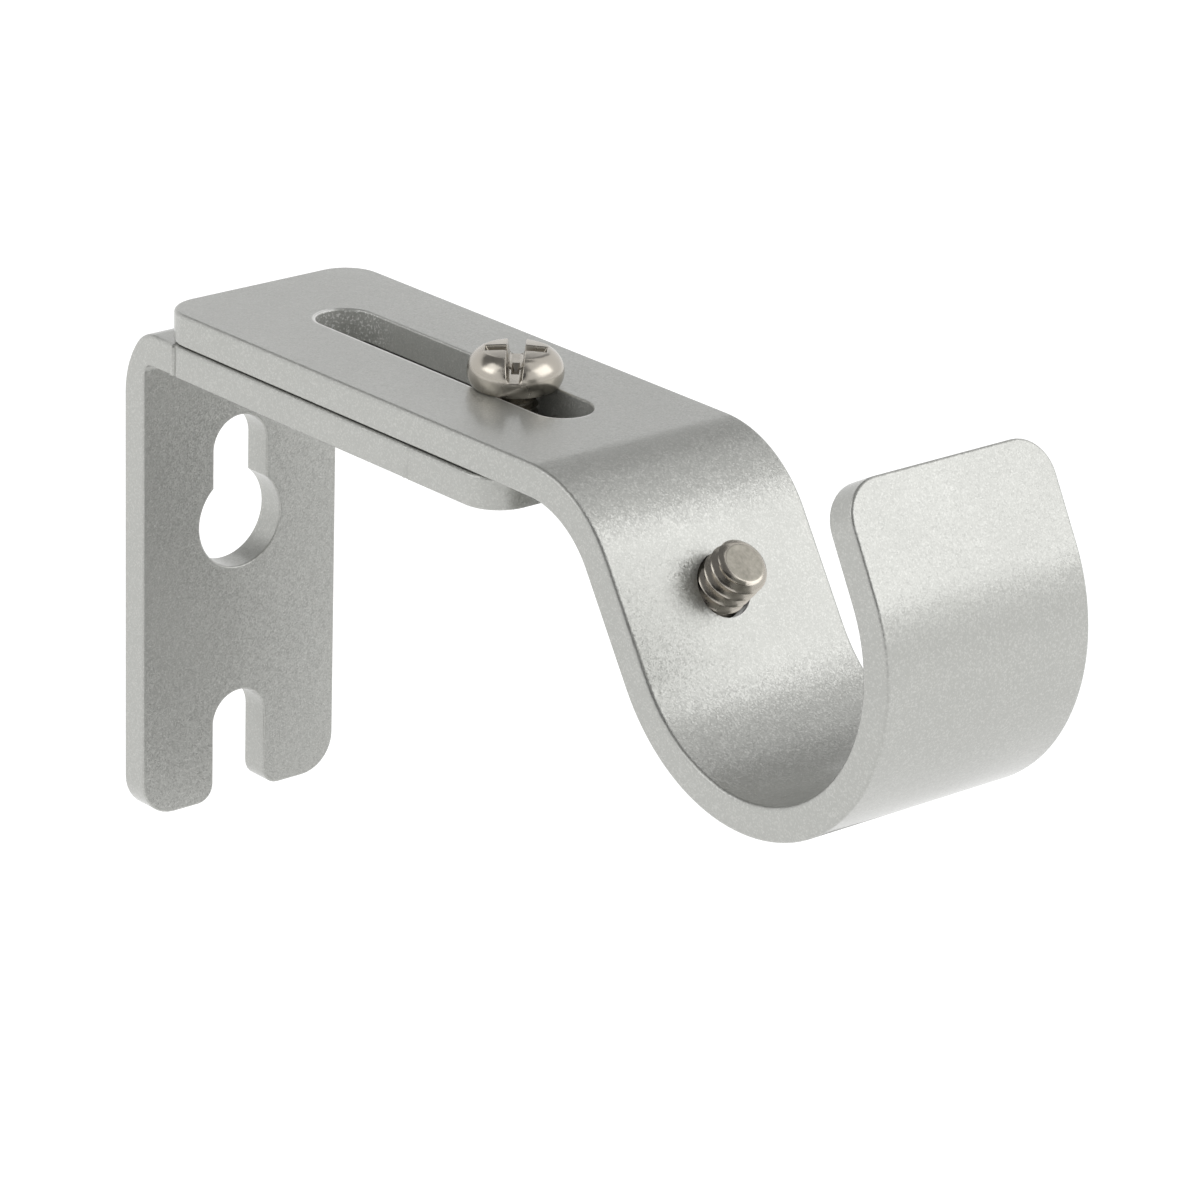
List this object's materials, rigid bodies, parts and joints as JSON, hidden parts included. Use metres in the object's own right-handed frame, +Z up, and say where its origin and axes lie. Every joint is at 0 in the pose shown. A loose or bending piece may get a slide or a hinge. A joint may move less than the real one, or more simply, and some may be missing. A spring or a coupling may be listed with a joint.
{
  "type": "curtain pole bracket",
  "caption": "Adjustable curtain pole bracket: a slotted arm with an open hook is clamped on a wall angle, with a screw that holds the pole.",
  "frame": {"origin": "on the plate's flat wall face, midway across its width and 30 mm below the leg's top face, in the solid metal between the keyhole and the open slot", "axes": "+X out of the wall along the arm, +Y along the pole, +Z up; the wall is the plane X = 0"},
  "size_m": [0.0965, 0.0211, 0.0569],
  "materials": {
    "wall_bracket": "satin silver paint",
    "pole_arm": "satin silver paint",
    "clamp_screw": "polished nickel plate",
    "set_screw": "polished nickel plate"
  },
  "bodies": {
    "wall": {"wall_bracket": "wall_bracket"},
    "arm": {"pole_arm": "pole_arm"},
    "clamp_screw": {"clamp_screw": "clamp_screw"},
    "set_screw": {"set_screw": "set_screw"}
  },
  "joints": [
    {"name": "arm_slide", "type": "slide", "parent": "wall", "child": "arm", "axis": [1, 0, 0], "range_m": [-0.0048, 0.0222]},
    {"name": "clamp_screw_turn", "type": "hinge", "parent": "wall", "child": "clamp_screw", "pos_m": [0.039, 0.00075, 0.03], "axis": [0, 0, 1], "range_deg": [0, 450]},
    {"name": "set_screw_travel", "type": "slide", "parent": "arm", "child": "set_screw", "axis": [0.6858, 0, 0.7278], "range_m": [-0.0033, 0.0015]}
  ]
}
